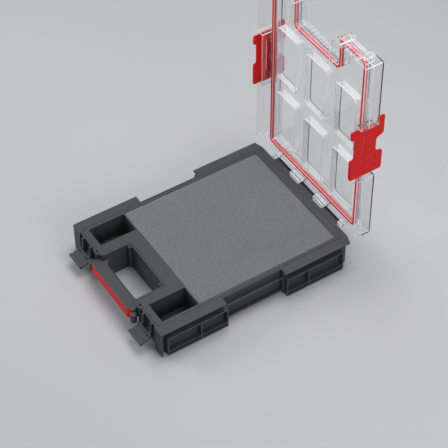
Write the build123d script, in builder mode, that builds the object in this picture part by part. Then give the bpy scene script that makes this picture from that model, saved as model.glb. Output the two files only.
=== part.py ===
from build123d import *
import math
import os

# Tool organizer case, lying open. Millimetres, +Z up, front towards -Y.
# Origin: on the floor, under the middle of the base.
# The lid is drawn as it lies when closed, on planes that stand up with it.

# Base
FRONT = -243.0
REAR = 243.0
RIM_Z = 72.0
WING_HALF = 188.0
GAP_HALF = 169.5
GAP_FRONT = -82.0
GAP_REAR = 68.0
CORNER_ALONG_SIDE = 7.0
CORNER_ALONG_REAR = 22.0
FLANGE = 4.0
WALL = 2.5
BODY_HALF = 176.0
GAP_BODY_HALF = 164.5
BODY_REAR = 234.0
FLOOR_Z = 7.0
FLOOR = 3.0

# Front of the base: handle bay, screw bosses and latch recesses
BAY_HALF = 72.3
BAY_REAR = -166.0
BAY_FLARE = 12.2
LATCH_FRONT = -240.0
LATCH_WALL = -235.0
LATCH_IN = 99.0
LATCH_OUT = 158.0
FRONT_BOSS = (91.7, -236.6)
REAR_BOSS = (65.8, -168.7)
BOSS_RADIUS = 5.6
BOSS_BORE = 2.6

# Wells and foam
WELL_IN = 100.7
WELL_OUT = 156.3
WELL_FRONT = -221.3
WELL_REAR = -133.4
WELL_FLOOR = 12.0
FOAM_HALF = 157.0
FOAM_FRONT = -131.0
FOAM_REAR = 218.6
FOAM_TOP = 71.6
FOAM_CORNER = 6.0
FOAM_SHEET = 8.0
SLIP = 0.3
SIDE_CORE_IN = 160.0
SIDE_CORES = ((-238.0, -86.0), (72.0, 231.0))
BAY_CORE_FRONT = -227.0

# Seal line, shared by the groove of the base and the gasket of the lid
SEAL_HALF = 160.6
SEAL_FRONT = -232.5
SEAL_REAR = 230.5
SEAL_BAY_HALF = 80.4
SEAL_BAY_REAR = -158.6
SEAL_CORNER = 9.0
SEAL_WIDTH = 5.0
SEAL_HEIGHT = 9.0

# Side rails for stacking
RAIL_OUT = 190.5
RAIL_HEIGHTS = (1.4, 11.5, 51.5)
RAIL_THICK = 2.8
FRONT_RAIL = (-228.0, -146.0, -80.5)
REAR_RAIL = (72.5, 128.0, 218.0)
GAP_RAIL_HEIGHTS = (9.5, 47.0)
GAP_RAIL_OUT = 176.0

# Hinge
HINGE_Y = 254.0
HINGE_Z = 66.0
KNUCKLE_RADIUS = 5.4
PIN_RADIUS = 2.0
RUNNING = 0.06
KNUCKLE_ENDS = (25.0, 66.0, 119.0, 133.0)
KNUCKLE_GAP = 0.5

# Lid, in the heights of the closed case
SKIRT_GAP = 1.0
SKIRT = 2.5
SKIRT_Z = 54.0
LID_SEAT = 73.4
LID_TOP = 97.0
LID_SHEET = 2.4
PANEL_TOP = 91.6
SEAL_WALL = 1.6
PAD_FACE = 73.4
PAD_SIZE = (74.0, 143.0)
PAD_PITCH = (106.0, 183.0)
PAD_MIDDLE = 44.5
PAD_WALL = 2.0
PAD_CORNER = 10.0
RIB_PITCH = 12.0
RIB_COUNT = 8
RIB_WIDTH = 4.4
RIB_PROUD = 2.0
RIB_Z = 78.0
SIDE_SKIRT_END = 229.0
LID_BOSS = (90.0, -241.5)
LID_BOSS_RADIUS = 6.2

# Front latches
LATCH_X = 128.5
LATCH_WIDTH = 48.0
LATCH_PIVOT_Y = -249.0
LATCH_PIVOT_Z = 36.0
LATCH_LENGTH = 29.0
LATCH_PLATE = 4.0
LATCH_LIP = 7.0
LATCH_HOOK = 4.0
LATCH_HANG = 24.0
LATCH_KNUCKLE = 4.0
LATCH_PIN = 1.5
FIN_OFFSET = 16.0
FIN_THICK = 5.4
FIN_FRONT = -244.6
FIN_TOP = 69.0
CATCH_TOP = 57.8
CATCH_THICK = 3.8

# Handle
GRIP_TOP = 57.0
GRIP_BOTTOM = 29.0
GRIP_FRONT = -259.5
GRIP_BACK = -229.0
GRIP_HALF = 85.0
GRIP_CORNER = 12.0
GRIP_ROOM = 2.0
STRIP_DEPTH = 2.6
STRIP_PROUD = 1.0
STRIP_TOP = 56.0
STRIP_BOTTOM = 31.0
STRIP_ROUND = 2.5
BARREL_RADIUS = 7.6
BARREL_TOP = 51.0
BARREL_BOTTOM = 27.0
BARREL_PLACE = (88.5, -252.5)

# Side clips
CLIP_FRONT = -78.0
CLIP_REAR = 60.0
CLIP_LOBE = -91.0
CLIP_LOBE_Z = 101.0
CLIP_LOW = 37.0
CLIP_HIGH = 119.0
CLIP_IN = 179.6
CLIP_PLATE = 3.2
CLIP_AXIS_X = 176.4
CLIP_AXIS_Z = 80.0
CLIP_PIN = 1.5
CLIP_KNUCKLE = 2.9
CLIP_LIP = 3.1
CLIP_ROUND = 3.0
CLIP_WAIST = (-54.0, 1.0)
CLIP_WAIST_DEPTH = 8.0
CLIP_NECK = (-37.0, 6.0)
CLIP_NECK_DEPTH = 18.0
CLIP_SLOT = (-54.0, 30.0)
CLIP_SLOT_Z = 71.0
CLIP_SLOT_WIDTH = 2.4
CLIP_LUGS = ((-64.0, -52.0), (-13.0, -1.0), (38.0, 50.0))
CLIP_KNUCKLES = ((-51.0, -14.0), (0.0, 37.0))


def mid(low, high):
    return (low + high) / 2


def block(x, y, z, mode=Mode.ADD):
    """A box between two values on each axis, joined to the part being made."""
    with Locations((mid(*x), mid(*y), mid(*z))):
        Box(abs(x[1] - x[0]), abs(y[1] - y[0]), abs(z[1] - z[0]), mode=mode)


def rod_x(y, z, radius, ends, mode=Mode.ADD):
    """A round bar along X between two ends."""
    with BuildSketch(Plane.YZ.offset(min(ends))) as section:
        with Locations((y, z)):
            Circle(radius)
    extrude(section.sketch, amount=abs(ends[1] - ends[0]), mode=mode)


def rectangle(x, y):
    """A rectangle between two values on each axis, joined to the sketch being made."""
    with Locations((mid(*x), mid(*y))):
        Rectangle(abs(x[1] - x[0]), abs(y[1] - y[0]))


def lid_plane(height):
    """The level plane at a height of the closed case, turned up with the open lid."""
    return Plane(origin=(0, HINGE_Y + height - HINGE_Z, HINGE_Z + HINGE_Y), x_dir=(1, 0, 0), z_dir=(0, 1, 0))


def lid_section(x):
    """The upright plane across the lid at x, with the closed case's Y and Z as its axes."""
    return Plane(origin=(x, HINGE_Y - HINGE_Z, HINGE_Z + HINGE_Y), x_dir=(0, 0, -1), z_dir=(1, 0, 0))


def lid_cross(y):
    """The plane across the closed case at y, with X and the closed Z as axes, looking forwards."""
    return Plane(origin=(0, HINGE_Y - HINGE_Z, HINGE_Z + HINGE_Y - y), x_dir=(1, 0, 0), z_dir=(0, 0, 1))


def case_outline(grow=0.0):
    """The outline that base and lid share, moved outwards all round by grow."""
    half = WING_HALF + grow
    front = FRONT - grow
    rear = REAR + grow
    with BuildSketch() as outline:
        with Locations((0, mid(front, rear))):
            Rectangle(2 * half, rear - front)
        for side in (-1, 1):
            with Locations((side * mid(GAP_HALF + grow, half + 1), mid(GAP_FRONT, GAP_REAR))):
                Rectangle(half + 1 - GAP_HALF - grow, GAP_REAR - GAP_FRONT - 2 * grow, mode=Mode.SUBTRACT)
            with Locations((side * mid(LATCH_IN, LATCH_OUT), mid(front - 1, LATCH_FRONT - grow))):
                Rectangle(LATCH_OUT - LATCH_IN - 2 * grow, LATCH_FRONT - grow - front + 1, mode=Mode.SUBTRACT)
            with BuildLine():
                Polyline(
                    (side * (half + 1), rear - CORNER_ALONG_SIDE),
                    (side * half, rear - CORNER_ALONG_SIDE),
                    (side * (half - CORNER_ALONG_REAR), rear),
                    (side * (half - CORNER_ALONG_REAR), rear + 1),
                    (side * (half + 1), rear + 1),
                    close=True,
                )
            make_face(mode=Mode.SUBTRACT)
        bay = BAY_HALF - grow
        with BuildLine():
            Polyline(
                (-bay, BAY_REAR - grow),
                (bay, BAY_REAR - grow),
                (bay, FRONT + BAY_FLARE),
                (bay + BAY_FLARE, FRONT - grow),
                (bay + BAY_FLARE, front - 1),
                (-bay - BAY_FLARE, front - 1),
                (-bay - BAY_FLARE, FRONT - grow),
                (-bay, FRONT + BAY_FLARE),
                close=True,
            )
        make_face(mode=Mode.SUBTRACT)
    return outline.sketch


def seal_outline(grow=0.0):
    """The loop that the gasket follows, moved outwards by grow."""
    half = SEAL_HALF + grow
    front = SEAL_FRONT - grow
    rear = SEAL_REAR + grow
    bay = SEAL_BAY_HALF - grow
    bay_rear = SEAL_BAY_REAR - grow
    with BuildSketch() as loop:
        with Locations((0, mid(front, rear))):
            Rectangle(2 * half, rear - front)
        with Locations((0, mid(front - 1, bay_rear))):
            Rectangle(2 * bay, bay_rear - front + 1, mode=Mode.SUBTRACT)
        inner = loop.vertices().group_by(Axis.Y)[1]
        chamfer(inner, SEAL_CORNER - (2 - math.sqrt(2)) * grow)
        outer = loop.vertices().group_by(Axis.Y)[-1] + loop.vertices().group_by(Axis.Y)[0]
        outer = outer.filter_by(lambda corner: abs(corner.X) > SEAL_BAY_HALF + 20)
        chamfer(outer, SEAL_CORNER / 2 + (2 - math.sqrt(2)) * grow)
    return loop.sketch


# Base tray: tub, flange, wells, handle bay, stacking rails and hinge knuckles
with BuildPart() as base_tray:
    with BuildSketch(Plane.XY):
        with Locations((0, mid(FRONT, BODY_REAR))):
            Rectangle(2 * BODY_HALF, BODY_REAR - FRONT)
        with Locations((0, mid(FRONT - 1, BAY_REAR))):
            Rectangle(2 * BAY_HALF, BAY_REAR - FRONT + 1, mode=Mode.SUBTRACT)
        for side in (-1, 1):
            with Locations((side * mid(GAP_BODY_HALF, BODY_HALF + 1), mid(GAP_FRONT, GAP_REAR))):
                Rectangle(BODY_HALF + 1 - GAP_BODY_HALF, GAP_REAR - GAP_FRONT, mode=Mode.SUBTRACT)
            with Locations((side * mid(BAY_HALF, LATCH_OUT), mid(FRONT - 1, LATCH_WALL))):
                Rectangle(LATCH_OUT - BAY_HALF, LATCH_WALL - FRONT + 1, mode=Mode.SUBTRACT)
            with BuildLine():
                Polyline(
                    (side * (BAY_HALF - 1), FRONT + BAY_FLARE),
                    (side * BAY_HALF, FRONT + BAY_FLARE),
                    (side * (BAY_HALF + BAY_FLARE), FRONT),
                    (side * (BAY_HALF - 1), FRONT),
                    close=True,
                )
            make_face(mode=Mode.SUBTRACT)
    extrude(amount=RIM_Z - FLANGE)
    with BuildSketch(Plane.XY.offset(RIM_Z - FLANGE)):
        add(case_outline())
    extrude(amount=FLANGE)

    # The rim rolls off softly at the side gaps
    for side in (-1, 1):
        gap_edges = edges().filter_by(Axis.Y).filter_by_position(Axis.Z, RIM_Z, RIM_Z)
        fillet(gap_edges.filter_by_position(Axis.X, side * GAP_HALF - 0.1, side * GAP_HALF + 0.1), FLANGE - 0.5)

    # Screw bosses at the bay's front and rear corners
    for side in (-1, 1):
        with Locations((side * REAR_BOSS[0], REAR_BOSS[1], mid(8, RIM_Z))):
            Cylinder(BOSS_RADIUS, RIM_Z - 8)
        with Locations((side * FRONT_BOSS[0], FRONT_BOSS[1], mid(24, RIM_Z))):
            Cylinder(BOSS_RADIUS, RIM_Z - 24)

    # Foam bed and wells
    with BuildSketch(Plane.XY.offset(FLOOR_Z + FLOOR)):
        with Locations((0, mid(FOAM_FRONT, FOAM_REAR))):
            RectangleRounded(2 * (FOAM_HALF + SLIP), FOAM_REAR - FOAM_FRONT + 2 * SLIP, FOAM_CORNER)
    extrude(amount=RIM_Z, mode=Mode.SUBTRACT)
    with BuildSketch(Plane.XY.offset(WELL_FLOOR)):
        with Locations((-mid(WELL_IN, WELL_OUT), mid(WELL_FRONT, WELL_REAR)),
                       (mid(WELL_IN, WELL_OUT), mid(WELL_FRONT, WELL_REAR))):
            Rectangle(WELL_OUT - WELL_IN, WELL_REAR - WELL_FRONT)
    extrude(amount=RIM_Z, mode=Mode.SUBTRACT)

    # The moulding is cored out from below
    with BuildSketch(Plane.XY) as cores:
        for side in (-1, 1):
            for span in SIDE_CORES:
                rectangle((side * SIDE_CORE_IN, side * (BODY_HALF - WALL)), span)
            rectangle((side * (BAY_HALF + WALL), side * (WELL_IN - WALL)), (BAY_CORE_FRONT, BAY_REAR))
        rectangle((WALL - WELL_IN, WELL_IN - WALL), (BAY_REAR + WALL, FOAM_FRONT - WALL))
    extrude(amount=RIM_Z - FLANGE, mode=Mode.SUBTRACT)
    with BuildSketch(Plane.XY) as shallow_cores:
        with Locations((0, mid(FOAM_FRONT, FOAM_REAR))):
            with GridLocations(77.5, 87.4, 4, 4):
                Rectangle(74.5, 84.4)
    extrude(amount=FLOOR_Z, mode=Mode.SUBTRACT)
    with BuildSketch(Plane.XY) as well_cores:
        with GridLocations(WELL_IN + WELL_OUT, 1, 2, 1):
            with Locations((0, mid(WELL_FRONT, WELL_REAR))):
                Rectangle(WELL_OUT - WELL_IN, WELL_REAR - WELL_FRONT)
    extrude(amount=WELL_FLOOR - FLOOR, mode=Mode.SUBTRACT)

    # Seal groove just outside the gasket line
    with BuildSketch(Plane.XY.offset(RIM_Z)):
        add(seal_outline(SEAL_WIDTH / 2 + 1.8))
        add(seal_outline(SEAL_WIDTH / 2 + 0.3), mode=Mode.SUBTRACT)
    extrude(amount=-1.6, mode=Mode.SUBTRACT)

    # Wing fronts and stacking rails
    with BuildSketch(Plane.XY.offset(1)) as wing_fronts:
        for side in (-1, 1):
            rectangle((side * LATCH_OUT, side * (WING_HALF - 1)), (FRONT, FRONT + 3))
    extrude(amount=RIM_Z - FLANGE)
    for height in RAIL_HEIGHTS:
        with BuildSketch(Plane.XY.offset(height - RAIL_THICK / 2)) as rails:
            for side in (-1, 1):
                for span in (FRONT_RAIL, REAR_RAIL):
                    rectangle((side * (BODY_HALF - 1), side * RAIL_OUT), (span[0], span[-1]))
        extrude(amount=RAIL_THICK)
    with BuildSketch(Plane.XY) as uprights:
        for side in (-1, 1):
            for place in FRONT_RAIL + REAR_RAIL:
                rectangle((side * (BODY_HALF - 1), side * (RAIL_OUT - 0.8)), (place - 1.4, place + 1.4))
    extrude(amount=RAIL_HEIGHTS[-1])
    for height in GAP_RAIL_HEIGHTS:
        with BuildSketch(Plane.XY.offset(height - RAIL_THICK / 2)) as gap_rails:
            for side in (-1, 1):
                rectangle((side * (GAP_BODY_HALF - 1), side * GAP_RAIL_OUT), (GAP_FRONT + 0.5, GAP_REAR - 0.5))
        extrude(amount=RAIL_THICK)

    # Fins that carry each latch pin
    for side in (-1, 1):
        for offset in (-FIN_OFFSET, FIN_OFFSET):
            with BuildSketch(Plane.YZ.offset(side * LATCH_X + offset - FIN_THICK / 2)):
                with BuildLine():
                    Polyline(
                        (LATCH_WALL + 1, FIN_TOP),
                        (FIN_FRONT, FIN_TOP),
                        (FIN_FRONT, LATCH_PIVOT_Z + 8),
                        (LATCH_PIVOT_Y, LATCH_PIVOT_Z + 4),
                        (LATCH_PIVOT_Y, LATCH_PIVOT_Z - 4),
                        (LATCH_WALL + 1, LATCH_PIVOT_Z - 14),
                        close=True,
                    )
                make_face()
                with Locations((LATCH_PIVOT_Y, LATCH_PIVOT_Z)):
                    Circle(LATCH_KNUCKLE)
                top_front = (FIN_FRONT, FIN_TOP)
                fillet(vertices().sort_by_distance((*top_front, 0))[0], 4)
            extrude(amount=FIN_THICK)
        rod_x(LATCH_PIVOT_Y, LATCH_PIVOT_Z, LATCH_PIN,
              (side * LATCH_X - LATCH_WIDTH, side * LATCH_X + LATCH_WIDTH), Mode.SUBTRACT)

    # Rear hinge knuckles of the base, on arms under the flange
    for ends in ((-KNUCKLE_ENDS[0], KNUCKLE_ENDS[0]), (KNUCKLE_ENDS[1], KNUCKLE_ENDS[2]),
                 (-KNUCKLE_ENDS[2], -KNUCKLE_ENDS[1])):
        span = (ends[0] + KNUCKLE_GAP, ends[1] - KNUCKLE_GAP)
        rod_x(HINGE_Y, HINGE_Z, KNUCKLE_RADIUS, span)
        with BuildSketch(Plane.YZ.offset(span[0])):
            with BuildLine():
                Polyline(
                    (BODY_REAR - 1, RIM_Z - 1.5),
                    (REAR, RIM_Z - 1.5),
                    (HINGE_Y - 3.0, HINGE_Z + 3.4),
                    (HINGE_Y, HINGE_Z - KNUCKLE_RADIUS),
                    (BODY_REAR - 1, RIM_Z - 28),
                    close=True,
                )
            make_face()
        extrude(amount=span[1] - span[0])
    rod_x(HINGE_Y, HINGE_Z, PIN_RADIUS, (-KNUCKLE_ENDS[3], KNUCKLE_ENDS[3]), Mode.SUBTRACT)

    # Screw bores
    for side in (-1, 1):
        for place in (FRONT_BOSS, REAR_BOSS):
            with Locations((side * place[0], place[1], RIM_Z)):
                Hole(BOSS_BORE, depth=40)
base_tray.part.label = "base_tray"

# Screws, seated deep in the four bosses
with BuildPart() as case_screws:
    with BuildSketch(Plane.XY.offset(36)) as shanks:
        for side in (-1, 1):
            with Locations((side * FRONT_BOSS[0], FRONT_BOSS[1]), (side * REAR_BOSS[0], REAR_BOSS[1])):
                Circle(BOSS_BORE)
    extrude(amount=22)
case_screws.part.label = "case_screws"

# Foam: a thin sheet on the floor of the tub and a thick block over it
with BuildPart() as foam_base_sheet:
    with BuildSketch(Plane.XY.offset(FLOOR_Z + FLOOR)):
        with Locations((0, mid(FOAM_FRONT, FOAM_REAR))):
            RectangleRounded(2 * FOAM_HALF, FOAM_REAR - FOAM_FRONT, FOAM_CORNER)
    extrude(amount=FOAM_SHEET)
foam_base_sheet.part.label = "foam_base_sheet"

with BuildPart() as foam_insert:
    with BuildSketch(Plane.XY.offset(FLOOR_Z + FLOOR + FOAM_SHEET)):
        with Locations((0, mid(FOAM_FRONT, FOAM_REAR))):
            RectangleRounded(2 * FOAM_HALF, FOAM_REAR - FOAM_FRONT, FOAM_CORNER)
    extrude(amount=FOAM_TOP - FLOOR_Z - FLOOR - FOAM_SHEET)
foam_insert.part.label = "foam_insert"


def grip_outline(grow=0.0):
    """The grip's outer outline from above, moved outwards by grow."""
    half = GRIP_HALF + grow
    front = GRIP_FRONT - grow
    with BuildSketch() as outline:
        with BuildLine():
            Polyline(
                (-half, LATCH_WALL),
                (-half, GRIP_FRONT + 9),
                (-half + 11, front),
                (half - 11, front),
                (half, GRIP_FRONT + 9),
                (half, LATCH_WALL),
                close=True,
            )
        make_face()
        fillet(outline.vertices().filter_by(lambda corner: corner.Y < GRIP_FRONT + 12), 8 + grow)
    return outline.sketch


# Handle: a rounded bar whose ends turn back to the bay walls, with the strip let into its front
with BuildPart() as handle_strip:
    with BuildSketch(Plane.XY.offset(STRIP_BOTTOM)):
        add(grip_outline(STRIP_PROUD))
        add(grip_outline(-STRIP_DEPTH), mode=Mode.SUBTRACT)
        with Locations((0, LATCH_WALL)):
            Rectangle(3 * GRIP_HALF, 2 * (LATCH_WALL - GRIP_FRONT - 9), mode=Mode.SUBTRACT)
    extrude(amount=STRIP_TOP - STRIP_BOTTOM)
    face_edges = edges().filter_by(Axis.X).filter_by_position(Axis.Y, GRIP_FRONT - 2, GRIP_FRONT - STRIP_PROUD / 2)
    fillet(face_edges, STRIP_ROUND)
handle_strip.part.label = "handle_strip"

with BuildPart() as handle_grip:
    with BuildSketch(Plane.XY.offset(GRIP_BOTTOM)):
        add(grip_outline())
        with BuildLine():
            Polyline(
                (-BAY_HALF, LATCH_WALL),
                (-BAY_HALF, GRIP_BACK + GRIP_CORNER),
                (-BAY_HALF + GRIP_CORNER, GRIP_BACK),
                (BAY_HALF - GRIP_CORNER, GRIP_BACK),
                (BAY_HALF, GRIP_BACK + GRIP_CORNER),
                (BAY_HALF, LATCH_WALL),
                close=True,
            )
        make_face()
    extrude(amount=GRIP_TOP - GRIP_BOTTOM)
    top_edges = edges().filter_by(GeomType.LINE).filter_by_position(Axis.Z, GRIP_TOP, GRIP_TOP).filter_by(Axis.X)
    low_edges = edges().filter_by(GeomType.LINE).filter_by_position(Axis.Z, GRIP_BOTTOM, GRIP_BOTTOM).filter_by(Axis.X)
    fillet(top_edges.sort_by(Axis.Y)[-1], 6)
    fillet(low_edges.sort_by(Axis.Y)[-1], 6)
    # Ribbed barrels at the ends
    for side in (-1, 1):
        with BuildSketch(Plane.XZ.offset(-BARREL_PLACE[1])) as half_barrel:
            with BuildLine():
                x = side * BARREL_PLACE[0]
                out = side * BARREL_RADIUS
                neck = side * (BARREL_RADIUS - 1.4)
                Polyline(
                    (x, BARREL_BOTTOM),
                    (x + out, BARREL_BOTTOM),
                    (x + out, BARREL_TOP - 15),
                    (x + neck, BARREL_TOP - 13),
                    (x + out, BARREL_TOP - 11),
                    (x + out, BARREL_TOP),
                    (x, BARREL_TOP),
                    close=True,
                )
            make_face()
        revolve(axis=Axis((side * BARREL_PLACE[0], BARREL_PLACE[1], 0), (0, 0, 1)))
    add(handle_strip.part, mode=Mode.SUBTRACT)
handle_grip.part.label = "handle_grip"

# Latches, hanging open: plate outwards, hook bar at its outer edge
hang = math.radians(LATCH_HANG)
hanging = Plane(
    origin=(0, LATCH_PIVOT_Y, LATCH_PIVOT_Z),
    x_dir=(1, 0, 0),
    z_dir=(0, -math.sin(hang), math.cos(hang)),
)
latches = []
for side, name in ((-1, "left"), (1, "right")):
    x = side * LATCH_X
    half = LATCH_WIDTH / 2
    with BuildPart(hanging) as latch:
        block((x - half, x + half), (-LATCH_LENGTH, -6), (-LATCH_PLATE, 0))
        block((x - half, x + half), (-LATCH_LENGTH, LATCH_LIP - LATCH_LENGTH), (-LATCH_PLATE, LATCH_HOOK))
        inner = FIN_OFFSET - FIN_THICK / 2 - KNUCKLE_GAP
        outside = FIN_OFFSET + FIN_THICK / 2 + KNUCKLE_GAP
        for ends in ((-half, -outside), (-inner, inner), (outside, half)):
            span = (x + ends[0], x + ends[1])
            rod_x(LATCH_PIVOT_Y, LATCH_PIVOT_Z, LATCH_KNUCKLE, span)
            block(span, (-7, 0), (-LATCH_PLATE, 0))
        rod_x(LATCH_PIVOT_Y, LATCH_PIVOT_Z, LATCH_PIN + RUNNING, (x - half - 1, x + half + 1), Mode.SUBTRACT)
    latch.part.label = "front_latch_" + name
    with BuildPart() as latch_pin:
        rod_x(LATCH_PIVOT_Y, LATCH_PIVOT_Z, LATCH_PIN, (x - half, x + half))
    latch_pin.part.label = "latch_pin_" + name
    latches += [latch.part, latch_pin.part]

# Lid shell: border, skirt, seal channel, panel and six deep pads
with BuildPart() as lid_shell:
    with BuildSketch(lid_plane(SKIRT_Z)) as skirt:
        add(case_outline(SKIRT_GAP + SKIRT))
        add(case_outline(SKIRT_GAP), mode=Mode.SUBTRACT)
    extrude(amount=LID_TOP - SKIRT_Z)
    with BuildSketch(lid_plane(SKIRT_Z - 1)) as rear_clearance:
        rectangle((-WING_HALF - 9, WING_HALF + 9), (SIDE_SKIRT_END, REAR + 9))
    extrude(amount=LID_SEAT - SKIRT_Z + 1, mode=Mode.SUBTRACT)
    with BuildSketch(lid_plane(LID_TOP - LID_SHEET)) as border:
        add(case_outline(SKIRT_GAP + SKIRT))
        add(seal_outline(-SEAL_WIDTH / 2 - SEAL_WALL), mode=Mode.SUBTRACT)
    extrude(amount=LID_SHEET)
    with BuildSketch(lid_plane(LID_SEAT)) as channel_walls:
        add(seal_outline(SEAL_WIDTH / 2 + SEAL_WALL))
        add(seal_outline(SEAL_WIDTH / 2), mode=Mode.SUBTRACT)
        add(seal_outline(-SEAL_WIDTH / 2))
        add(seal_outline(-SEAL_WIDTH / 2 - SEAL_WALL), mode=Mode.SUBTRACT)
    extrude(amount=LID_TOP - LID_SEAT)
    with BuildSketch(lid_plane(LID_SEAT + SEAL_HEIGHT - 1)) as channel_land:
        add(seal_outline(SEAL_WIDTH / 2))
        add(seal_outline(-SEAL_WIDTH / 2), mode=Mode.SUBTRACT)
    extrude(amount=LID_SHEET)
    with BuildSketch(lid_plane(PANEL_TOP - LID_SHEET)) as panel:
        add(seal_outline(-SEAL_WIDTH / 2 - SEAL_WALL))
    extrude(amount=LID_SHEET)
    with BuildSketch(lid_plane(PAD_FACE)) as pads:
        with Locations((0, PAD_MIDDLE)):
            with GridLocations(*PAD_PITCH, 3, 2):
                RectangleRounded(*PAD_SIZE, PAD_CORNER)
    extrude(amount=PANEL_TOP - PAD_FACE)
    with BuildSketch(lid_plane(PAD_FACE + PAD_WALL)) as pad_pockets:
        with Locations((0, PAD_MIDDLE)):
            with GridLocations(*PAD_PITCH, 3, 2):
                RectangleRounded(PAD_SIZE[0] - 2 * PAD_WALL, PAD_SIZE[1] - 2 * PAD_WALL, PAD_CORNER - PAD_WALL)
    extrude(amount=LID_TOP, mode=Mode.SUBTRACT)

    # Room for the base's bosses and latch fins
    with BuildSketch(lid_plane(SKIRT_Z - 1)) as clearances:
        for side in (-1, 1):
            with Locations((side * REAR_BOSS[0], REAR_BOSS[1])):
                Circle(BOSS_RADIUS + 1.5)
            for offset in (-FIN_OFFSET, FIN_OFFSET):
                with Locations((side * LATCH_X + offset, LATCH_FRONT - 2)):
                    Rectangle(FIN_THICK + 3, 6)
    extrude(amount=LID_SEAT - SKIRT_Z, mode=Mode.SUBTRACT)

    # Room for the ends of the handle
    with BuildSketch(lid_plane(SKIRT_Z - 1)) as grip_room:
        for side in (-1, 1):
            rectangle((side * (BAY_HALF - SKIRT_GAP - SKIRT - 1), side * (GRIP_HALF + GRIP_ROOM)),
                      (FRONT - SKIRT_GAP - SKIRT - 1, GRIP_BACK + GRIP_CORNER + GRIP_ROOM))
    extrude(amount=GRIP_TOP + GRIP_ROOM - SKIRT_Z + 1, mode=Mode.SUBTRACT)

    # Upright grip ribs on the front of the lid's border
    with BuildSketch(lid_plane(RIB_Z)) as ribs:
        with Locations((0, BAY_REAR - SKIRT_GAP - SKIRT)):
            with GridLocations(RIB_PITCH, 1, RIB_COUNT, 1):
                Trapezoid(RIB_WIDTH, 2 * RIB_PROUD, 70)
        for side in (-1, 1):
            with Locations((side * LATCH_X, LATCH_FRONT - SKIRT_GAP - SKIRT)):
                with GridLocations(RIB_PITCH, 1, RIB_COUNT // 2, 1):
                    Trapezoid(RIB_WIDTH, 2 * RIB_PROUD, 70, rotation=180)
    extrude(amount=LID_TOP - RIB_Z)

    # Bosses at the front corners of the notch, over those of the base
    with BuildSketch(lid_plane(LID_SEAT)) as lid_bosses:
        for side in (-1, 1):
            with Locations((side * LID_BOSS[0], LID_BOSS[1])):
                Circle(LID_BOSS_RADIUS)
    extrude(amount=LID_TOP - LID_SEAT)
    with BuildSketch(lid_plane(LID_SEAT)) as lid_boss_bores:
        for side in (-1, 1):
            with Locations((side * LID_BOSS[0], LID_BOSS[1])):
                Circle(BOSS_BORE)
    extrude(amount=LID_TOP - LID_SHEET - LID_SEAT, mode=Mode.SUBTRACT)

    # Catches for the front latches
    with BuildSketch(lid_plane(CATCH_TOP - CATCH_THICK)) as catches:
        for side in (-1, 1):
            rectangle((side * LATCH_X - 9, side * LATCH_X + 9), (LATCH_FRONT - 7, LATCH_FRONT - SKIRT_GAP - 0.5))
    extrude(amount=CATCH_THICK)

    # Hinge knuckles
    for side in (-1, 1):
        for near, far in (KNUCKLE_ENDS[0:2], KNUCKLE_ENDS[2:4]):
            ends = sorted((side * (near + KNUCKLE_GAP), side * far))
            with BuildSketch(lid_section(ends[0])) as knuckle:
                with Locations((HINGE_Y, HINGE_Z)):
                    Circle(KNUCKLE_RADIUS)
                with BuildLine():
                    Polyline(
                        (REAR + SKIRT_GAP + 1, LID_SEAT + 0.6),
                        (REAR + SKIRT_GAP + 1, LID_TOP - 6),
                        (REAR + SKIRT_GAP + SKIRT + 3, LID_TOP - 9),
                        (HINGE_Y + KNUCKLE_RADIUS, HINGE_Z + 4),
                        (HINGE_Y + KNUCKLE_RADIUS, HINGE_Z),
                        (HINGE_Y - 4, HINGE_Z + 3.6),
                        close=True,
                    )
                make_face()
            extrude(amount=ends[1] - ends[0])
    rod_x(HINGE_Y, HINGE_Z, PIN_RADIUS + RUNNING, (-KNUCKLE_ENDS[3] - 1, KNUCKLE_ENDS[3] + 1), Mode.SUBTRACT)

    # Lugs for the side clips
    for low, high in CLIP_LUGS:
        with BuildSketch(lid_cross(high)) as lug:
            for side in (-1, 1):
                with Locations((side * CLIP_AXIS_X, CLIP_AXIS_Z)):
                    Circle(CLIP_KNUCKLE)
                rectangle((side * (GAP_HALF + SKIRT_GAP + 1), side * CLIP_AXIS_X),
                          (CLIP_AXIS_Z - CLIP_KNUCKLE, CLIP_AXIS_Z + CLIP_KNUCKLE))
        extrude(amount=high - low)
    with BuildSketch(lid_cross(CLIP_REAR)) as clip_bores:
        with Locations((-CLIP_AXIS_X, CLIP_AXIS_Z), (CLIP_AXIS_X, CLIP_AXIS_Z)):
            Circle(CLIP_PIN)
    extrude(amount=CLIP_REAR - CLIP_FRONT, mode=Mode.SUBTRACT)
lid_shell.part.label = "lid_shell"

# Gasket in the lid's channel
with BuildPart() as lid_seal:
    with BuildSketch(lid_plane(LID_SEAT - 1)):
        add(seal_outline(SEAL_WIDTH / 2))
        add(seal_outline(-SEAL_WIDTH / 2), mode=Mode.SUBTRACT)
    extrude(amount=SEAL_HEIGHT)
lid_seal.part.label = "lid_seal"

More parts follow.
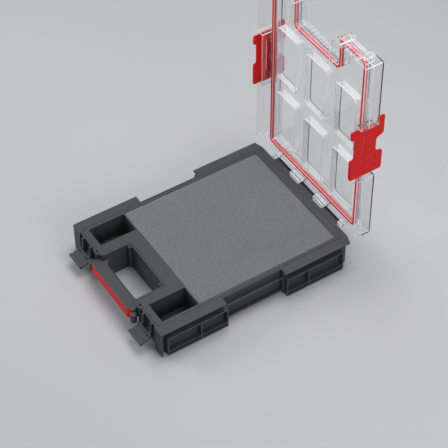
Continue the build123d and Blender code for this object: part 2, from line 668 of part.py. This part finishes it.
# Side clips: a waisted plate with lobes above the lid and a lip below
clips = []
for side, name in ((-1, "left"), (1, "right")):
    with BuildPart() as clip:
        plate = (side * CLIP_IN, side * (CLIP_IN + CLIP_PLATE))
        with BuildSketch(lid_section(min(plate))) as clip_face:
            rectangle((CLIP_FRONT, CLIP_REAR), (CLIP_LOW, CLIP_HIGH))
            rectangle((CLIP_LOBE, CLIP_FRONT), (CLIP_LOBE_Z, CLIP_HIGH))
            chamfer(clip_face.vertices(), CLIP_ROUND)
            for notch, edge, depth in ((CLIP_NECK, CLIP_HIGH, CLIP_NECK_DEPTH), (CLIP_WAIST, CLIP_LOW, CLIP_WAIST_DEPTH)):
                with Locations((mid(*notch), edge)):
                    RectangleRounded(notch[1] - notch[0], 2 * depth, 0.6 * depth, mode=Mode.SUBTRACT)
                mouth = clip_face.vertices().sort_by_distance((notch[0], edge, 0))[:1]
                mouth += clip_face.vertices().sort_by_distance((notch[1], edge, 0))[:1]
                chamfer(mouth, 0.3 * depth)
            with Locations((mid(*CLIP_SLOT), CLIP_SLOT_Z)):
                SlotOverall(CLIP_SLOT[1] - CLIP_SLOT[0], CLIP_SLOT_WIDTH, mode=Mode.SUBTRACT)
        extrude(amount=CLIP_PLATE)
        for low, high in CLIP_KNUCKLES:
            with BuildSketch(lid_cross(high)) as clip_knuckle:
                with Locations((side * CLIP_AXIS_X, CLIP_AXIS_Z)):
                    Circle(CLIP_KNUCKLE)
                rectangle((side * CLIP_AXIS_X, side * (CLIP_IN + 1)),
                          (CLIP_AXIS_Z - CLIP_KNUCKLE, CLIP_AXIS_Z + CLIP_KNUCKLE))
            extrude(amount=high - low)
        for low, high in ((CLIP_FRONT + 4, CLIP_WAIST[0] - 4), (CLIP_WAIST[1] + 4, CLIP_REAR - 4)):
            with BuildSketch(lid_cross(high)) as lip:
                rectangle((side * (CLIP_IN - CLIP_LIP), side * (CLIP_IN + 1)), (CLIP_LOW, CLIP_LOW + 4))
            extrude(amount=high - low)
        for low, high in ((CLIP_FRONT + 4, CLIP_NECK[0] - 4), (CLIP_NECK[1] + 4, CLIP_REAR - 4)):
            with BuildSketch(lid_cross(high)) as hook:
                rectangle((side * (CLIP_IN - CLIP_LIP), side * (CLIP_IN + 1)), (CLIP_HIGH - 4, CLIP_HIGH))
            extrude(amount=high - low)
        with BuildSketch(lid_cross(CLIP_REAR)) as clip_bore:
            with Locations((side * CLIP_AXIS_X, CLIP_AXIS_Z)):
                Circle(CLIP_PIN + RUNNING)
        extrude(amount=CLIP_REAR - CLIP_FRONT, mode=Mode.SUBTRACT)
    clip.part.label = "side_clip_" + name
    with BuildPart() as clip_pin:
        with BuildSketch(lid_cross(CLIP_LUGS[-1][1])):
            with Locations((side * CLIP_AXIS_X, CLIP_AXIS_Z)):
                Circle(CLIP_PIN)
        extrude(amount=CLIP_LUGS[-1][1] - CLIP_LUGS[0][0])
    clip_pin.part.label = "clip_pin_" + name
    clips += [clip.part, clip_pin.part]

# Hinge pins
pins = []
for side, name in ((-1, "left"), (1, "right")):
    with BuildPart() as hinge_pin:
        rod_x(HINGE_Y, HINGE_Z, PIN_RADIUS, sorted((side * 6.0, side * KNUCKLE_ENDS[3])))
    hinge_pin.part.label = "hinge_pin_" + name
    pins.append(hinge_pin.part)

os.makedirs("parts", exist_ok=True)
single = [base_tray, case_screws, foam_base_sheet, foam_insert, handle_grip, handle_strip, lid_shell, lid_seal]
for part in [builder.part for builder in single] + latches + clips + pins:
    export_step(part, "parts/" + part.label + ".step")
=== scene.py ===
import math

import bmesh
import bpy
import numpy as np
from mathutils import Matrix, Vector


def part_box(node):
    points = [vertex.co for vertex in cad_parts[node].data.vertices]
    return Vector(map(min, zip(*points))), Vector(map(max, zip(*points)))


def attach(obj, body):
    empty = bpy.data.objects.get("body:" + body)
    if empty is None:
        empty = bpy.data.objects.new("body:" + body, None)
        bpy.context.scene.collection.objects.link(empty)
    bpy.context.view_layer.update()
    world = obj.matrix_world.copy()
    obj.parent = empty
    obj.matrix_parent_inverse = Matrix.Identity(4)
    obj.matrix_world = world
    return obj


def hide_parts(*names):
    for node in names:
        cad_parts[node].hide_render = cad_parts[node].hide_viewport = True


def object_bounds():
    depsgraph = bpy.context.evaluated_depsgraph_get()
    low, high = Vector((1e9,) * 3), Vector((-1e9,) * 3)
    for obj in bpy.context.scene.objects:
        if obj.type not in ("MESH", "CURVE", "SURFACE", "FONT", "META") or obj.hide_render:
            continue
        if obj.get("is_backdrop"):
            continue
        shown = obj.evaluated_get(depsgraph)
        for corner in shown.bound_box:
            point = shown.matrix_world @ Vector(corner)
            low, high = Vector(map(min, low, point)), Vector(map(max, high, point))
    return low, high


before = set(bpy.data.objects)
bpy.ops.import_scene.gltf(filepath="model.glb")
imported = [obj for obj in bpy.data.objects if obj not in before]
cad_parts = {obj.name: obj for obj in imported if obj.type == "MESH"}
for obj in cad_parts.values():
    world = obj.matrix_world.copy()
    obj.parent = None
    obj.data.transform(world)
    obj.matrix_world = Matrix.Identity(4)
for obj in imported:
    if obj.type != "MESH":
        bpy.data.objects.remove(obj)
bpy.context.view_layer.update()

# Studio
# The case lies open on a plain pale floor. A large soft panel overhead, a smaller one from the front left
# and a low fill from the right light it, and an even pale room stands round it.
scene = bpy.context.scene
scene.view_settings.view_transform = "Standard"

floor_mesh = bpy.data.meshes.new("floor")
FLOOR_REACH = 6
FLOOR_LEVEL = -0.0004
corner_signs = ((-1, -1), (1, -1), (1, 1), (-1, 1))
floor_corners = [(x * FLOOR_REACH, y * FLOOR_REACH, FLOOR_LEVEL) for x, y in corner_signs]
floor_mesh.from_pydata(floor_corners, [], [(0, 1, 2, 3)])
floor = bpy.data.objects.new("floor", floor_mesh)
scene.collection.objects.link(floor)
floor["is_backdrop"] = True
floor_paint = bpy.data.materials.new("floor_paint")
floor_paint.use_nodes = True
floor_surface = floor_paint.node_tree.nodes["Principled BSDF"]
floor_surface.inputs["Base Color"].default_value = (0.50, 0.50, 0.51, 1)
floor_surface.inputs["Roughness"].default_value = 0.7
floor_surface.inputs["Specular IOR Level"].default_value = 0.2
floor_mesh.materials.append(floor_paint)

room = bpy.data.worlds.new("room")
scene.world = room
room.use_nodes = True
room_tree = room.node_tree
room_tree.nodes["Background"].inputs["Color"].default_value = (0.93, 0.95, 1.0, 1)
room_tree.nodes["Background"].inputs["Strength"].default_value = 0.42
backdrop = room_tree.nodes.new("ShaderNodeBackground")
backdrop.inputs["Color"].default_value = (0.54, 0.54, 0.55, 1)
seen = room_tree.nodes.new("ShaderNodeLightPath")
seen_through = room_tree.nodes.new("ShaderNodeMath")
seen_through.operation = "MAXIMUM"
room_tree.links.new(seen.outputs["Is Camera Ray"], seen_through.inputs[0])
room_tree.links.new(seen.outputs["Is Transmission Ray"], seen_through.inputs[1])
choice = room_tree.nodes.new("ShaderNodeMixShader")
room_tree.links.new(seen_through.outputs[0], choice.inputs[0])
room_tree.links.new(room_tree.nodes["Background"].outputs[0], choice.inputs[1])
room_tree.links.new(backdrop.outputs[0], choice.inputs[2])
room_tree.links.new(choice.outputs[0], room_tree.nodes["World Output"].inputs["Surface"])


def lamp(name, place, aim, size, power):
    """A square soft panel at place that faces aim."""
    data = bpy.data.lights.new(name, "AREA")
    data.size = size
    data.energy = power
    panel = bpy.data.objects.new(name, data)
    scene.collection.objects.link(panel)
    panel.location = place
    line = np.array(aim, float) - np.array(place, float)
    flat = math.hypot(line[0], line[1])
    panel.rotation_euler = (math.atan2(flat, -line[2]), 0, math.atan2(-line[0], line[1]))


lamp("overhead", (-0.3, 0.5, 2.3), (0, 0.0, 0.1), 1.4, 30)
lamp("front_left", (-1.7, -1.5, 1.5), (0, 0, 0.1), 1.0, 18)
lamp("right_fill", (2.1, 0.2, 1.2), (0, 0.1, 0.15), 0.9, 15)

view = bpy.data.cameras.new("view")
view.lens = 126.12
view.sensor_width = 36
camera = bpy.data.objects.new("view", view)
scene.collection.objects.link(camera)
camera.location = (1.9973, -1.2264, 2.5748)
camera.rotation_euler = (math.radians(43.4424), math.radians(0.4521), math.radians(57.3267))
scene.camera = camera


# Base tray
# One injection moulding in dark grey polypropylene, spark-textured all over, with edges polished a little by
# handling. Its tub, flange, wells, rails and knuckles are the CAD node, and a copy with rounded edges stands
# for it. The rounded edges get a lighter copy of the plastic, partly that wear and partly a painted
# highlight, and the faces of the seal groove get a darker copy, which is painted shade.
class Level:
    """A number that varies over a surface. Arithmetic on it adds Math nodes to its finish."""

    def __init__(self, finish, socket):
        self.finish = finish
        self.socket = socket

    def math(self, operation, *values):
        return self.finish.node("ShaderNodeMath", {"operation": operation}, values)

    def __add__(self, other):
        return self.math("ADD", self, other)

    def __sub__(self, other):
        return self.math("SUBTRACT", self, other)

    def __rsub__(self, other):
        return self.math("SUBTRACT", other, self)

    def __mul__(self, other):
        return self.math("MULTIPLY", self, other)

    __radd__ = __add__
    __rmul__ = __mul__


class Finish:
    """A material being made: a Principled surface with its constant sockets, and the nodes that vary it."""

    def __init__(self, name, constants):
        self.material = bpy.data.materials.new(name)
        self.material.use_nodes = True
        self.tree = self.material.node_tree
        self.surface = self.tree.nodes["Principled BSDF"]
        for socket, value in constants.items():
            self.surface.inputs[socket].default_value = value

    def node(self, kind, settings=None, values=(), out=0):
        """Adds a node, its settings first, then its sockets' values or links, in order or by name."""
        made = self.tree.nodes.new(kind)
        for key, value in (settings or {}).items():
            setattr(made, key, value)
        for socket, value in (values.items() if isinstance(values, dict) else enumerate(values)):
            if isinstance(value, Level):
                self.tree.links.new(value.socket, made.inputs[socket])
            else:
                made.inputs[socket].default_value = value
        return Level(self, made.outputs[out])

    def feed(self, socket, level):
        self.tree.links.new(level.socket, self.surface.inputs[socket])


def place_on(finish):
    """The point's place on its own piece."""
    return finish.node("ShaderNodeTexCoord", out="Object")


def noise(finish, scale, detail=3.0, roughness=0.55):
    """Cloudy noise whose blobs are about a metre divided by scale, from 0 to 1."""
    cloud = {"Vector": place_on(finish), "Scale": scale, "Detail": detail, "Roughness": roughness}
    return finish.node("ShaderNodeTexNoise", {}, cloud)


def mixed(finish, factor, first, second):
    """A colour that goes from first to second as factor goes from 0 to 1."""
    sockets = {0: factor, 6: (*first, 1), 7: (*second, 1)}
    return finish.node("ShaderNodeMix", {"data_type": "RGBA"}, sockets, out=2)


def relief(finish, height, strength, depth):
    """Feeds a bump of the given depth in metres to the surface."""
    bump = finish.node("ShaderNodeBump", {}, {"Height": height, "Strength": strength, "Distance": depth})
    finish.feed("Normal", bump)


def moulded_plastic(name, dark, light, roughness, sheen):
    """Spark-textured moulded plastic: fine grain as relief, cloudy drift in colour and in gloss."""
    finish = Finish(name, {"Specular IOR Level": sheen, "IOR": 1.49})
    drift = noise(finish, 22, 4)
    grain = noise(finish, 1500, 2, 0.7)
    finish.feed("Base Color", mixed(finish, drift * 0.65 + grain * 0.35, dark, light))
    finish.feed("Roughness", drift * 0.14 + (roughness - 0.07) + grain * 0.1 - 0.05)
    relief(finish, grain + noise(finish, 620, 3) * 0.5, 0.35, 0.00022)
    return finish.material


case_plastic = moulded_plastic("case_plastic", (0.040, 0.041, 0.043), (0.056, 0.057, 0.059), 0.56, 0.42)
# Lighter copy for the rounded edges: partly handling wear, partly painted highlight.
case_edge_wear_and_highlight = moulded_plastic("case_edge_wear_and_highlight", (0.070, 0.071, 0.073), (0.088, 0.089, 0.092), 0.42, 0.5)
# Darker copy for the faces of the seal groove: painted shade.
groove_painted_shade = moulded_plastic("groove_painted_shade", (0.012, 0.012, 0.013), (0.020, 0.020, 0.021), 0.7, 0.2)


MERGE = 2e-6
WIDE_ANGLE = 1.0


def sharper_edges(shell, angle):
    """The edges between two faces that turn by more than angle, in radians."""
    return [edge for edge in shell.edges if edge.is_manifold and edge.calc_face_angle(0) > angle]


def round_off(shell, edges, width, segments):
    """Rounds edges by width in a number of steps, with the second finish on the rounding."""
    bmesh.ops.bevel(shell, geom=edges, offset=width, offset_type="OFFSET", segments=segments, profile=0.5,
                    affect="EDGES", clamp_overlap=False, material=1)


def softened(name, node, width, finishes, segments=2, angle=35, sort=None, wide=None, shrink=0.0,
             plain=None, cuts=None):
    """A copy of a CAD node with every edge sharper than angle rounded by width.

    The roundings get the second finish, except those that plain picks, which get the first. sort gives each
    other face the number of its finish. wide holds a width and a test of the edges that it rounds first. The
    closed shapes in cuts are taken out before the rounding, and shrink draws the whole surface in after it.
    Nothing ends up outside the node's own box."""
    shell = bmesh.new()
    shell.from_mesh(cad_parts[node].data)
    bmesh.ops.remove_doubles(shell, verts=shell.verts, dist=MERGE)
    if cuts:
        less(shell, cuts)
    for face in shell.faces:
        face.material_index = sort(face) if sort else 0
    if wide:
        rims = [edge for edge in sharper_edges(shell, WIDE_ANGLE) if wide[1](edge)]
        round_off(shell, rims, wide[0], 4)
    round_off(shell, sharper_edges(shell, math.radians(angle)), width, segments)
    for face in shell.faces if plain else ():
        if face.material_index == 1 and plain(face):
            face.material_index = 0
    for point in shell.verts if shrink else ():
        point.co -= point.normal * shrink
    mesh = bpy.data.meshes.new(name)
    shell.to_mesh(mesh)
    shell.free()
    low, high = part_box(node)
    corners = np.empty(len(mesh.vertices) * 3)
    mesh.vertices.foreach_get("co", corners)
    corners = np.clip(corners.reshape(-1, 3), np.array(low), np.array(high))
    mesh.vertices.foreach_set("co", corners.ravel())
    piece = bpy.data.objects.new(name, mesh)
    scene.collection.objects.link(piece)
    smooth(piece, 40, finishes)
    return piece


def skin(name, grid, finishes, around=True, first=None, last=None, angle=60):
    """A surface from a grid of points whose rows are rings or strips, joined into four-sided faces.

    around closes each row. first and last close the piece with a fan to that point, or with one face where
    they are True."""
    rows, columns = grid.shape[:2]
    index = np.arange(rows * columns).reshape(rows, columns)
    if around:
        index = np.concatenate([index, index[:, :1]], 1)
    corners = [index[:-1, :-1], index[:-1, 1:], index[1:, 1:], index[1:, :-1]]
    faces = np.stack(corners, -1).reshape(-1, 4).tolist()
    points = grid.reshape(-1, 3).tolist()
    for centre, ring in ((first, index[0]), (last, index[-1])):
        if centre is None:
            continue
        if centre is True:
            faces.append(ring[:-1].tolist())
        else:
            faces += [[a, b, len(points)] for a, b in zip(ring[:-1].tolist(), ring[1:].tolist())]
            points.append(list(centre))
    mesh = bpy.data.meshes.new(name)
    mesh.from_pydata(points, [], faces)
    shell = bmesh.new()
    shell.from_mesh(mesh)
    bmesh.ops.recalc_face_normals(shell, faces=shell.faces)
    shell.to_mesh(mesh)
    shell.free()
    piece = bpy.data.objects.new(name, mesh)
    scene.collection.objects.link(piece)
    smooth(piece, angle, finishes)
    return piece


def less(shell, shapes):
    """Takes closed shapes, each a grid of rings, out of a merged mesh, and leaves it in clean triangles."""
    whole = bpy.data.meshes.new("whole")
    shell.to_mesh(whole)
    body = bpy.data.objects.new("whole", whole)
    scene.collection.objects.link(body)
    tools = [skin("cut", grid, [], first=True, last=True) for grid in shapes]
    for tool in tools:
        cut = body.modifiers.new("cut", "BOOLEAN")
        cut.operation = "DIFFERENCE"
        cut.solver = "EXACT"
        cut.object = tool
    tree = bpy.context.evaluated_depsgraph_get()
    done = bpy.data.meshes.new_from_object(body.evaluated_get(tree))
    shell.clear()
    shell.from_mesh(done)
    bmesh.ops.remove_doubles(shell, verts=shell.verts, dist=MERGE)
    bmesh.ops.dissolve_limit(shell, angle_limit=0.01, verts=shell.verts, edges=shell.edges)
    bmesh.ops.triangulate(shell, faces=shell.faces)
    for piece in tools + [body]:
        bpy.data.objects.remove(piece)


def smooth(piece, angle, finishes):
    """Shades smoothly across edges flatter than angle, keeps flat faces flat, and adds the finishes."""
    mesh = piece.data
    mesh.polygons.foreach_set("use_smooth", np.ones(len(mesh.polygons), bool))
    mesh.set_sharp_from_angle(angle=math.radians(angle))
    even = piece.modifiers.new("even_normals", "WEIGHTED_NORMAL")
    even.keep_sharp = True
    for finish in finishes:
        mesh.materials.append(finish)
    mesh.update()


GROOVE_LEVELS = (0.0702, 0.0719)
GROOVE_REACH = 0.1655


def in_groove(face):
    """Whether a face lines the seal groove, whose darker plastic is painted shade."""
    middle = face.calc_center_median()
    return GROOVE_LEVELS[0] < middle.z < GROOVE_LEVELS[1] and abs(middle.x) < GROOVE_REACH


# The groove's faces take the darker plastic as painted shade; the rounded edges take the lighter one, partly
# wear and partly painted highlight.
tray = softened("tray_body", "base_tray", 0.0005, [case_plastic, case_edge_wear_and_highlight, groove_painted_shade],
                sort=lambda face: 2 if in_groove(face) else 0)
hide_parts("base_tray")
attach(tray, "base")


# Foam
# A cut block of closed-cell grey foam fills the tub, over a thin sheet of the same foam on the tub's floor.
# The skin is a fine open speckle of cut cells, and the cut edges are a little rounded and pulled in.
FOAM_CORNER = 0.006
FOAM_POINTS = 320
FOAM_PULL = 0.0006


def rounded_outline(half_x, half_y, corner, count):
    """Points and outward normals round a rectangle with round corners, even along each side and each arc."""
    turn = np.linspace(0, math.pi / 2, count // 16 + 1)
    points = []
    normals = []
    for quarter, (sx, sy) in enumerate(((1, 1), (-1, 1), (-1, -1), (1, -1))):
        a = turn + quarter * math.pi / 2
        normal = np.stack([np.cos(a), np.sin(a)], -1)
        arc = np.array([sx * (half_x - corner), sy * (half_y - corner)]) + corner * normal
        points.append(arc)
        normals.append(normal)
        following = ((-1, 1), (-1, -1), (1, -1), (1, 1))[quarter]
        start = arc[-1]
        centre = np.array([following[0] * (half_x - corner), following[1] * (half_y - corner)])
        end = centre + corner * normal[-1]
        share = np.linspace(0, 1, count // 5 + 2)[1:-1, None]
        points.append(start + (end - start) * share)
        normals.append(np.repeat(normal[-1:], len(share), 0))
    return np.concatenate(points), np.concatenate(normals)


foam_finish = Finish("cut_foam", {"Specular IOR Level": 0.25, "Sheen Weight": 0.25, "Sheen Roughness": 0.5})
cells = foam_finish.node("ShaderNodeTexVoronoi", {"feature": "F1"},
                         {"Vector": place_on(foam_finish), "Scale": 520}, out="Distance")
specks = noise(foam_finish, 430, 4, 0.75)
patches = noise(foam_finish, 14, 3)
foam_finish.feed("Base Color", mixed(foam_finish, specks * 1.7 - 0.5 + cells * 0.35 + patches * 0.25 - 0.12,
                                     (0.060, 0.061, 0.065), (0.225, 0.228, 0.238)))
foam_finish.feed("Roughness", 0.84 + specks * 0.14)
relief(foam_finish, cells * 0.7 + specks * 0.9, 0.8, 0.0007)


def foam_block(name, node, crown, edge):
    """A slab of foam: rings of the outline shrink to the middle over the top and the bottom.

    Within edge of the rim the top rolls down on a quarter circle. Inside that it rises by crown times one
    minus the fourth power of the share of the way out. The rows from the top of the roll to the end of the
    lower one pull in by FOAM_PULL times the square root of the sine of an angle from nought to a half turn.
    The rings over the top run inwards before the sides start at the rim, so the top lies in three layers, no
    further apart than crown."""
    low, high = (np.array(corner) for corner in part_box(node))
    middle = (low + high) / 2
    half = (high - low) / 2
    outline, normal = rounded_outline(half[0], half[1], FOAM_CORNER, FOAM_POINTS)
    roll = np.linspace(0, math.pi / 2, 9)
    reach = 1 - np.linspace(0, 1, 42)[1:-1]
    inset = np.concatenate([edge * (1 - np.sin(roll)), np.zeros(6), edge * (1 - np.sin(roll[::-1]))])
    top = high[2] - crown
    height = np.concatenate([top - edge * (1 - np.cos(roll)), np.linspace(top - edge, low[2] + edge, 8)[1:-1],
                             low[2] + edge * (1 - np.cos(roll[::-1]))])
    wall = outline[None] - normal[None] * inset[:, None, None]
    pull = FOAM_PULL * np.sin(np.linspace(0, math.pi, len(inset))) ** 0.5
    wall = wall - normal[None] * pull[:, None, None]
    layer = (len(reach), len(outline), 1)
    rise = top + crown * (1 - (1 - reach[::-1]) ** 4)
    top_heights = np.broadcast_to(rise[:, None, None], layer)
    top_rings = np.concatenate([wall[:1] * (1 - reach[::-1, None, None]), top_heights], -1)
    bottom_rings = np.concatenate([wall[-1:] * reach[:, None, None], np.full(layer, low[2])], -1)
    sides = np.concatenate([wall, np.broadcast_to(height[:, None, None], (*wall.shape[:2], 1))], -1)
    grid = np.concatenate([top_rings, sides, bottom_rings])
    grid[..., :2] += middle[:2]
    piece = skin(name, grid, [foam_finish.material], first=(middle[0], middle[1], high[2]),
                 last=(middle[0], middle[1], low[2]))
    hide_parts(node)
    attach(piece, "base")
    return piece


foam_block("foam_bed", "foam_insert", 0.0004, 0.0012)
foam_block("foam_floor_sheet", "foam_base_sheet", 0.0, 0.0008)


# Handle
# The carrying bar is moulded in the same grey plastic, with a ribbed barrel at each end, and a soft red strip
# is let into its front and round its corners.
# The bar's rounded edges take the lighter plastic, partly wear and partly painted highlight.
grip = softened("handle_bar", "handle_grip", 0.0009, [case_plastic, case_edge_wear_and_highlight], segments=3)
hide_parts("handle_grip")
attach(grip, "base")

red_finish = Finish("red_plastic", {"Specular IOR Level": 0.2})
red_drift = noise(red_finish, 30, 4)
red_grain = noise(red_finish, 1300, 2, 0.7)
red_blend = red_drift * 0.7 + red_grain * 0.3
red_finish.feed("Base Color", mixed(red_finish, red_blend, (0.60, 0.002, 0.003), (0.74, 0.004, 0.005)))
red_finish.feed("Roughness", red_drift * 0.12 + red_grain * 0.08 + 0.3)
relief(red_finish, red_grain, 0.25, 0.00012)

strip = softened("handle_red_strip", "handle_strip", 0.0011, [red_finish.material, red_finish.material],
                 segments=3)
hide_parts("handle_strip")
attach(strip, "base")


# Front latches
# Each latch is one tough moulding that clips on a steel pin between two fins of the tray. Open, it hangs a
# little below level, and its thick outer edge is the hook that grips the lid's catch.
# The latches' rounded edges take the lighter plastic, partly wear and partly painted highlight.
for side in ("left", "right"):
    latch = softened("latch_" + side, "front_latch_" + side, 0.0006, [case_plastic, case_edge_wear_and_highlight], segments=3)
    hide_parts("front_latch_" + side)
    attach(latch, "latch_" + side)


# Lid
# One clear polycarbonate moulding: a skirt that closes over the tray's flange, a channel for the seal and six
# deep pads. The panels are polished and the pads' walls are a little milky. The rounded edges and the rims of
# skirt and channel get a nearly opaque white finish, a painted highlight that reads as white lines.
clear_finish = Finish("clear_polycarbonate", {"Base Color": (0.96, 0.97, 0.98, 1), "IOR": 1.32,
                                              "Specular IOR Level": 0.8, "Transmission Weight": 1.0})
clear_finish.feed("Roughness", noise(clear_finish, 40, 3) * 0.04 + 0.005)
wall_finish = Finish("milky_wall", {"Base Color": (0.93, 0.94, 0.95, 1), "IOR": 1.32,
                                    "Specular IOR Level": 0.8, "Transmission Weight": 0.98})
wall_finish.feed("Roughness", noise(wall_finish, 50, 3) * 0.04 + 0.01)
pad_wall_finish = Finish("milky_pad_wall", {"Base Color": (0.97, 0.97, 0.98, 1), "IOR": 1.32,
                                            "Specular IOR Level": 0.8, "Transmission Weight": 0.78})
pad_wall_finish.feed("Roughness", noise(pad_wall_finish, 50, 3) * 0.06 + 0.12)
# Nearly opaque white plastic for the lid's roundings and rims: a painted highlight for light caught in the
# clear edges.
painted_edge_highlight = Finish("edge_painted_highlight", {"Base Color": (0.97, 0.97, 0.98, 1), "IOR": 1.4,
                                     "Transmission Weight": 0.3})
painted_edge_highlight.feed("Roughness", noise(painted_edge_highlight, 60, 3) * 0.1 + 0.3)
for finish in (clear_finish, wall_finish, pad_wall_finish, painted_edge_highlight):
    shadow = finish.tree.nodes.new("ShaderNodeLightPath")
    gap = finish.tree.nodes.new("ShaderNodeBsdfTransparent")
    gap.inputs["Color"].default_value = (0.9, 0.9, 0.91, 1)
    pass_light = finish.tree.nodes.new("ShaderNodeMixShader")
    finish.tree.links.new(shadow.outputs["Is Shadow Ray"], pass_light.inputs[0])
    finish.tree.links.new(finish.surface.outputs[0], pass_light.inputs[1])
    finish.tree.links.new(gap.outputs[0], pass_light.inputs[2])
    finish.tree.links.new(pass_light.outputs[0], finish.tree.nodes["Material Output"].inputs["Surface"])

PAD_FIELD = (0.145, 0.110, 0.440)
SKIRT_STEP = 0.2600
RIM_LEVELS = (0.2420, SKIRT_STEP, 0.2614)
LEVEL_SLACK = 0.0002
UPRIGHT = 0.7
RIB_FACE = 0.2655
NOTCH_RIBS = (0.047, 0.4885, 0.4925)
LATCH_RIBS = (0.106, 0.151, 0.5633)
SIDE_STEP = ((0.1903, 0.2), (0.236, SKIRT_STEP), (0.080, 0.572))
FRONT_STEP = ((0.1575, 0.2), (0.236, SKIRT_STEP), (0.5653, 0.572))
FINGER_ROOM = ((0.099, 0.146), (0.273, 0.290), (0.557, 0.570))


def in_pads(point):
    """Whether a point lies in the field of the six pads."""
    return abs(point.x) < PAD_FIELD[0] and PAD_FIELD[1] < point.z < PAD_FIELD[2]


def lid_part(face):
    """The number of a lid face's finish: 0 on polished sheets, 1 on the rims of skirt and channel, which get
    the white painted highlight, 2 on the nearly clear walls and 3 on the milky walls of the pads."""
    middle = face.calc_center_median()
    if abs(face.normal.y) < UPRIGHT:
        return 3 if in_pads(middle) else 2
    rim = min(abs(middle.y - level) for level in RIM_LEVELS) < LEVEL_SLACK
    return 1 if rim and not in_pads(middle) else 0


def on_ribs(face):
    """Whether a face belongs to the upright grip ribs outside the notch and over the latches."""
    middle = face.calc_center_median()
    outside_notch = abs(middle.x) < NOTCH_RIBS[0] and NOTCH_RIBS[1] < middle.z < NOTCH_RIBS[2]
    over_latches = LATCH_RIBS[0] < abs(middle.x) < LATCH_RIBS[1] and middle.z > LATCH_RIBS[2]
    return middle.y > RIB_FACE and (outside_notch or over_latches)


def pad_rim(edge):
    """Whether an edge runs round the face of a pad."""
    return all(abs(point.co.y - RIM_LEVELS[2]) < LEVEL_SLACK and in_pads(point.co) for point in edge.verts)


def box_rings(low, high):
    """Two rings of four corners each, at the low and the high end of a box."""
    corners = np.array([(0, 0), (1, 0), (1, 1), (0, 1)])
    low = np.array(low)
    high = np.array(high)
    flat = low[:2] + corners * (high - low)[:2]
    return np.stack([np.column_stack([flat, np.full(4, height)]) for height in (low[2], high[2])])


def side_box(side, across, along, height):
    """A box on one side of the case, from two distances off its middle and two values of Y and of Z."""
    near, far = sorted((side * across[0], side * across[1]))
    return box_rings((near, along[0], height[0]), (far, along[1], height[1]))


# The skirt is set back by a small step along both sides and at the front corners, and a recess over each
# latch leaves room for a finger.
lid_cuts = [side_box(side, *room) for room in (SIDE_STEP, FRONT_STEP, FINGER_ROOM) for side in (-1, 1)]
# The second finish, on the roundings and rims, is the white painted highlight.
lid_finishes = [clear_finish.material, painted_edge_highlight.material, wall_finish.material, pad_wall_finish.material]
lid = softened("lid_clear_shell", "lid_shell", 0.0006, lid_finishes, sort=lid_part, wide=(0.0016, pad_rim),
               plain=on_ribs, cuts=lid_cuts)
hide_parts("lid_shell")
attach(lid, "lid")


# Seal
# A soft red rubber cord lies in the lid's channel all the way round and presses on the tray's deck.
seal_finish = Finish("seal_rubber", {"Specular IOR Level": 0.4})
seal_drift = noise(seal_finish, 60, 3)
seal_finish.feed("Base Color", mixed(seal_finish, seal_drift, (0.60, 0.010, 0.014), (0.74, 0.018, 0.022)))
seal_finish.feed("Roughness", seal_drift * 0.15 + 0.45)
relief(seal_finish, noise(seal_finish, 900, 2), 0.2, 0.0001)
seal = softened("seal_cord", "lid_seal", 0.0011, [seal_finish.material, seal_finish.material], segments=3,
                shrink=0.0002)
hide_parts("lid_seal")
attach(seal, "lid")


# Side clips
# Two red clips, moulded as waisted plates, rock on steel pins at the lid's sides and couple the case to the
# next.
DIMPLES = ((0.2902, 0.3687), (0.2886, 0.3006), (0.2879, 0.2792), (0.2425, 0.3907))
DIMPLE_RADIUS = 0.0021
DIMPLE_DEPTH = 0.0026
DIMPLE_CLEAR = 0.002
DIMPLE_SIDES = 16


def dimple(sign, face, y, z):
    """A round plug through a clip's outer face, from DIMPLE_DEPTH inside it to DIMPLE_CLEAR outside it."""
    turn = np.linspace(0, 2 * math.pi, DIMPLE_SIDES + 1)[:-1]
    circle = [y + DIMPLE_RADIUS * np.cos(turn), z + DIMPLE_RADIUS * np.sin(turn)]
    ends = (face - DIMPLE_DEPTH, face + DIMPLE_CLEAR)
    return np.stack([np.column_stack([np.full(DIMPLE_SIDES, sign * x), *circle]) for x in ends])


for side, sign in (("left", -1), ("right", 1)):
    low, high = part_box("side_clip_" + side)
    face = -low[0] if side == "left" else high[0]
    clip = softened("clip_" + side, "side_clip_" + side, 0.0007, [red_finish.material, red_finish.material],
                    segments=3, cuts=[dimple(sign, face, y, z) for y, z in DIMPLES])
    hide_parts("side_clip_" + side)
    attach(clip, "clip_" + side)


# Pins and screws
# Drawn steel pins in the hinges, latches and clips, and black screws deep in the four deck bosses.
steel = Finish("drawn_steel", {"Metallic": 1.0, "Specular IOR Level": 0.5})
along = steel.node("ShaderNodeTexNoise", {}, {"Vector": place_on(steel), "Scale": 700.0, "Detail": 2.0})
steel.feed("Base Color", mixed(steel, along, (0.46, 0.46, 0.47), (0.62, 0.62, 0.63)))
steel.feed("Roughness", along * 0.2 + 0.2)
black_steel = Finish("black_steel", {"Metallic": 0.8})
tarnish = noise(black_steel, 300, 3)
black_steel.feed("Base Color", mixed(black_steel, tarnish, (0.03, 0.03, 0.032), (0.08, 0.08, 0.085)))
black_steel.feed("Roughness", tarnish * 0.25 + 0.3)
for node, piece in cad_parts.items():
    if "_pin_" in node or node == "case_screws":
        piece.data.materials.clear()
        piece.data.materials.append(steel.material if "_pin_" in node else black_steel.material)

low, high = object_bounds()
